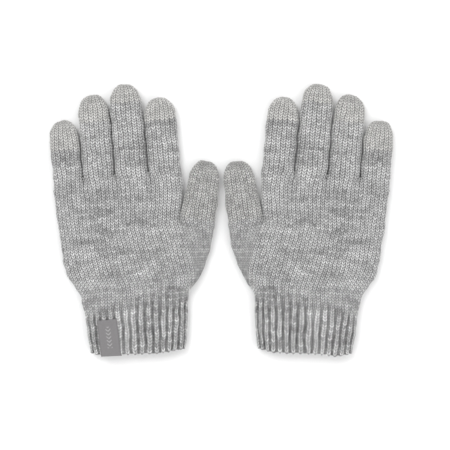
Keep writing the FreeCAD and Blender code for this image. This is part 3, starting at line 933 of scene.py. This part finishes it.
def add_label_stitching(glove, sheet):
    """A running stitch across the head of the label."""
    columns = sheet.shape[1]
    head = sheet[2]
    stitches = []
    for k in range(THREAD_STITCHES):
        share = (np.linspace(k + 0.2, k + 0.8, 7)) / THREAD_STITCHES
        at = 2 + share * (columns - 5)
        line = np.stack([np.interp(at, np.arange(columns), head[:, axis]) for axis in range(3)], axis=1)
        line[:, 2] += 0.10 * np.sin(math.pi * np.linspace(0, 1, 7)) - 0.06
        stitches.append(tube(glove, line, THREAD_RADIUS, closed=False))
    obj = joined(glove, "label_stitching_thread", stitches, THREAD)
    add_to_hand(glove, obj, "label_stitching")
    return obj


def conductive_yarn(name, look, course):
    """The conductive yarn of one fingertip or thumb from the given course on, made once for both gloves."""
    title = "conductive_yarn_" + name
    return bpy.data.materials.get(title) or yarn(title, look, change=course)


def leaned(points, x, y, lean):
    """Points of a finger's own frame moved to its place in the glove's frame."""
    c, s = math.cos(lean), math.sin(lean)
    return np.stack([
        x + points[..., 0] * c - points[..., 1] * s,
        y + points[..., 0] * s + points[..., 1] * c,
        points[..., 2],
    ], axis=-1)


def add_finger(glove, name, x, width, length, cap):
    """A finger's main-yarn tube, and its conductive end, which rides on the finger's body."""
    number = list(FINGERS).index(name)
    first = CUFF_COURSES + LOWER_COURSES + UPPER_COURSES
    rings, rows = finger_rings(width, length, DOME, FINGER_TAPER, FINGER_WALES, first)
    top = THUMB_WALES + number * FINGER_WALES
    bottom = THUMB_WALES + 2 * PALM_WALES - (number + 1) * FINGER_WALES
    section = (leaned(rings, x, FINGER_CROTCH, 0.0), wales_round(top, bottom, FINGER_WALES), rows)
    surface = surface_of(section, glove.seed)
    change = round((rows[-1] - first) * (1 - cap / length))
    tip_yarn = conductive_yarn(name, CONDUCTIVE, first + change)
    row = change * COURSE_STEPS
    tube_part = knitted(glove, name + "_finger_knit", part_of(surface, 0, row + 1), MAIN_YARN)
    tip = knitted(glove, name + "_fingertip_knit", part_of(surface, row, None), tip_yarn, closed_tip=True)
    glove.body("hand")
    glove.body(name)
    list(fold_ends(glove, x, FINGER_CROTCH, 0.0))
    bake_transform(tube_part)
    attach(tip, glove.body(name))
    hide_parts(f"{glove.side}_{name}_finger")
    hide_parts(f"{glove.side}_{name}_fingertip")


def fold_ends(glove, x, y, lean):
    """Two points on a finger's middle line, in the row's frame: at its crotch line, and two knuckle lengths
    beyond it.
    """
    far = 2 * KNUCKLE
    ends = [(x, y, MIDDLE_HEIGHT), (x - far * math.sin(lean), y + far * math.cos(lean), MIDDLE_HEIGHT)]
    return [tuple(float(c) for c in glove.place(end)) for end in ends]


def add_thumb(glove):
    """The conductive thumb, which stands at the end of the hand's leaning row."""
    lean = math.radians(THUMB_LEAN)
    half = THUMB_WIDTH / 2 + THUMB_GAP
    x = THUMB_CROTCH[0] - half * math.cos(lean)
    y = THUMB_CROTCH[1] - half * math.sin(lean)
    first = CUFF_COURSES + LOWER_COURSES
    rings, rows = finger_rings(THUMB_WIDTH, THUMB_LENGTH, THUMB_DOME, THUMB_TAPER, THUMB_WALES, first)
    columns = wales_round(0, THUMB_WALES + 2 * PALM_WALES, THUMB_WALES)
    surface = surface_of((leaned(rings, x, y, lean), columns, rows), glove.seed)
    thumb_yarn = conductive_yarn("thumb", OPEN_CONDUCTIVE, first)
    obj = knitted(glove, "thumb_knit", surface, thumb_yarn, closed_tip=True)
    glove.body("hand")
    glove.body("thumb")
    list(fold_ends(glove, x, y, lean))
    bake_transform(obj)
    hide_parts(f"{glove.side}_thumb")


for side in ("left", "right"):
    glove = Glove(side)
    add_hand(glove)
    for name, (x, width, length, cap) in FINGERS.items():
        add_finger(glove, name, x, width, length, cap)
    add_thumb(glove)
    add_crotch_loops(glove)
    if side == "left":
        add_label(glove)


# Floor, light and camera ------------------------------------------------------------------------------------

def add_floor():
    """White paper, wide enough to fill every view."""
    size = 3.0
    points = [(-size, -size, 0), (size, -size, 0), (size, size, 0), (-size, size, 0)]
    floor = new_object("floor", np.array(points, dtype=float), np.array([[0, 1, 2, 3]]), smooth=False)
    g = Graph("white_paper")
    surface = g.node("ShaderNodeBsdfPrincipled", {"Base Color": (0.94, 0.94, 0.94, 1), "Roughness": 0.9})
    out = g.node("ShaderNodeOutputMaterial")
    g.tree.links.new(surface.outputs[0], out.inputs[0])
    floor.data.materials.append(g.material)


def add_area(name, place, size, power):
    """A round soft light at a place, aimed at the middle of the pair."""
    light = bpy.data.lights.new(name, "AREA")
    light.shape, light.size, light.energy = "DISK", size, power
    obj = bpy.data.objects.new(name, light)
    bpy.context.scene.collection.objects.link(obj)
    obj.location = place
    obj.rotation_euler = (-Vector(place)).to_track_quat("-Z", "Y").to_euler()


def add_light():
    """An even white studio with a soft key light beyond the fingertips and a weaker fill light opposite."""
    world = bpy.data.worlds.new("studio")
    world.use_nodes = True
    background = world.node_tree.nodes["Background"]
    background.inputs[0].default_value = (1, 1, 1, 1)
    background.inputs[1].default_value = 0.95
    bpy.context.scene.world = world
    bpy.context.scene.view_settings.view_transform = "Standard"
    add_area("key", (-0.6, 0.7, 1.5), size=0.9, power=9.0)
    add_area("fill", (0.9, -0.5, 1.3), size=1.2, power=4.0)


def add_camera():
    """Straight above the pair, with a little more room below it than above."""
    data = bpy.data.cameras.new("camera")
    data.lens, data.sensor_width = LENS, SENSOR
    camera = bpy.data.objects.new("camera", data)
    bpy.context.scene.collection.objects.link(camera)
    x = (CAD_LOW.x + CAD_HIGH.x) / 2 + VIEW_SHIFT[0]
    y = (CAD_LOW.y + CAD_HIGH.y) / 2 + VIEW_SHIFT[1]
    camera.location = (x, y, VIEW_HEIGHT + VIEW_WIDTH * LENS / SENSOR)
    camera.rotation_euler = (0.0, 0.0, 0.0)
    data.clip_start, data.clip_end = 0.01, 10.0
    bpy.context.scene.camera = camera


add_floor()
add_light()
add_camera()
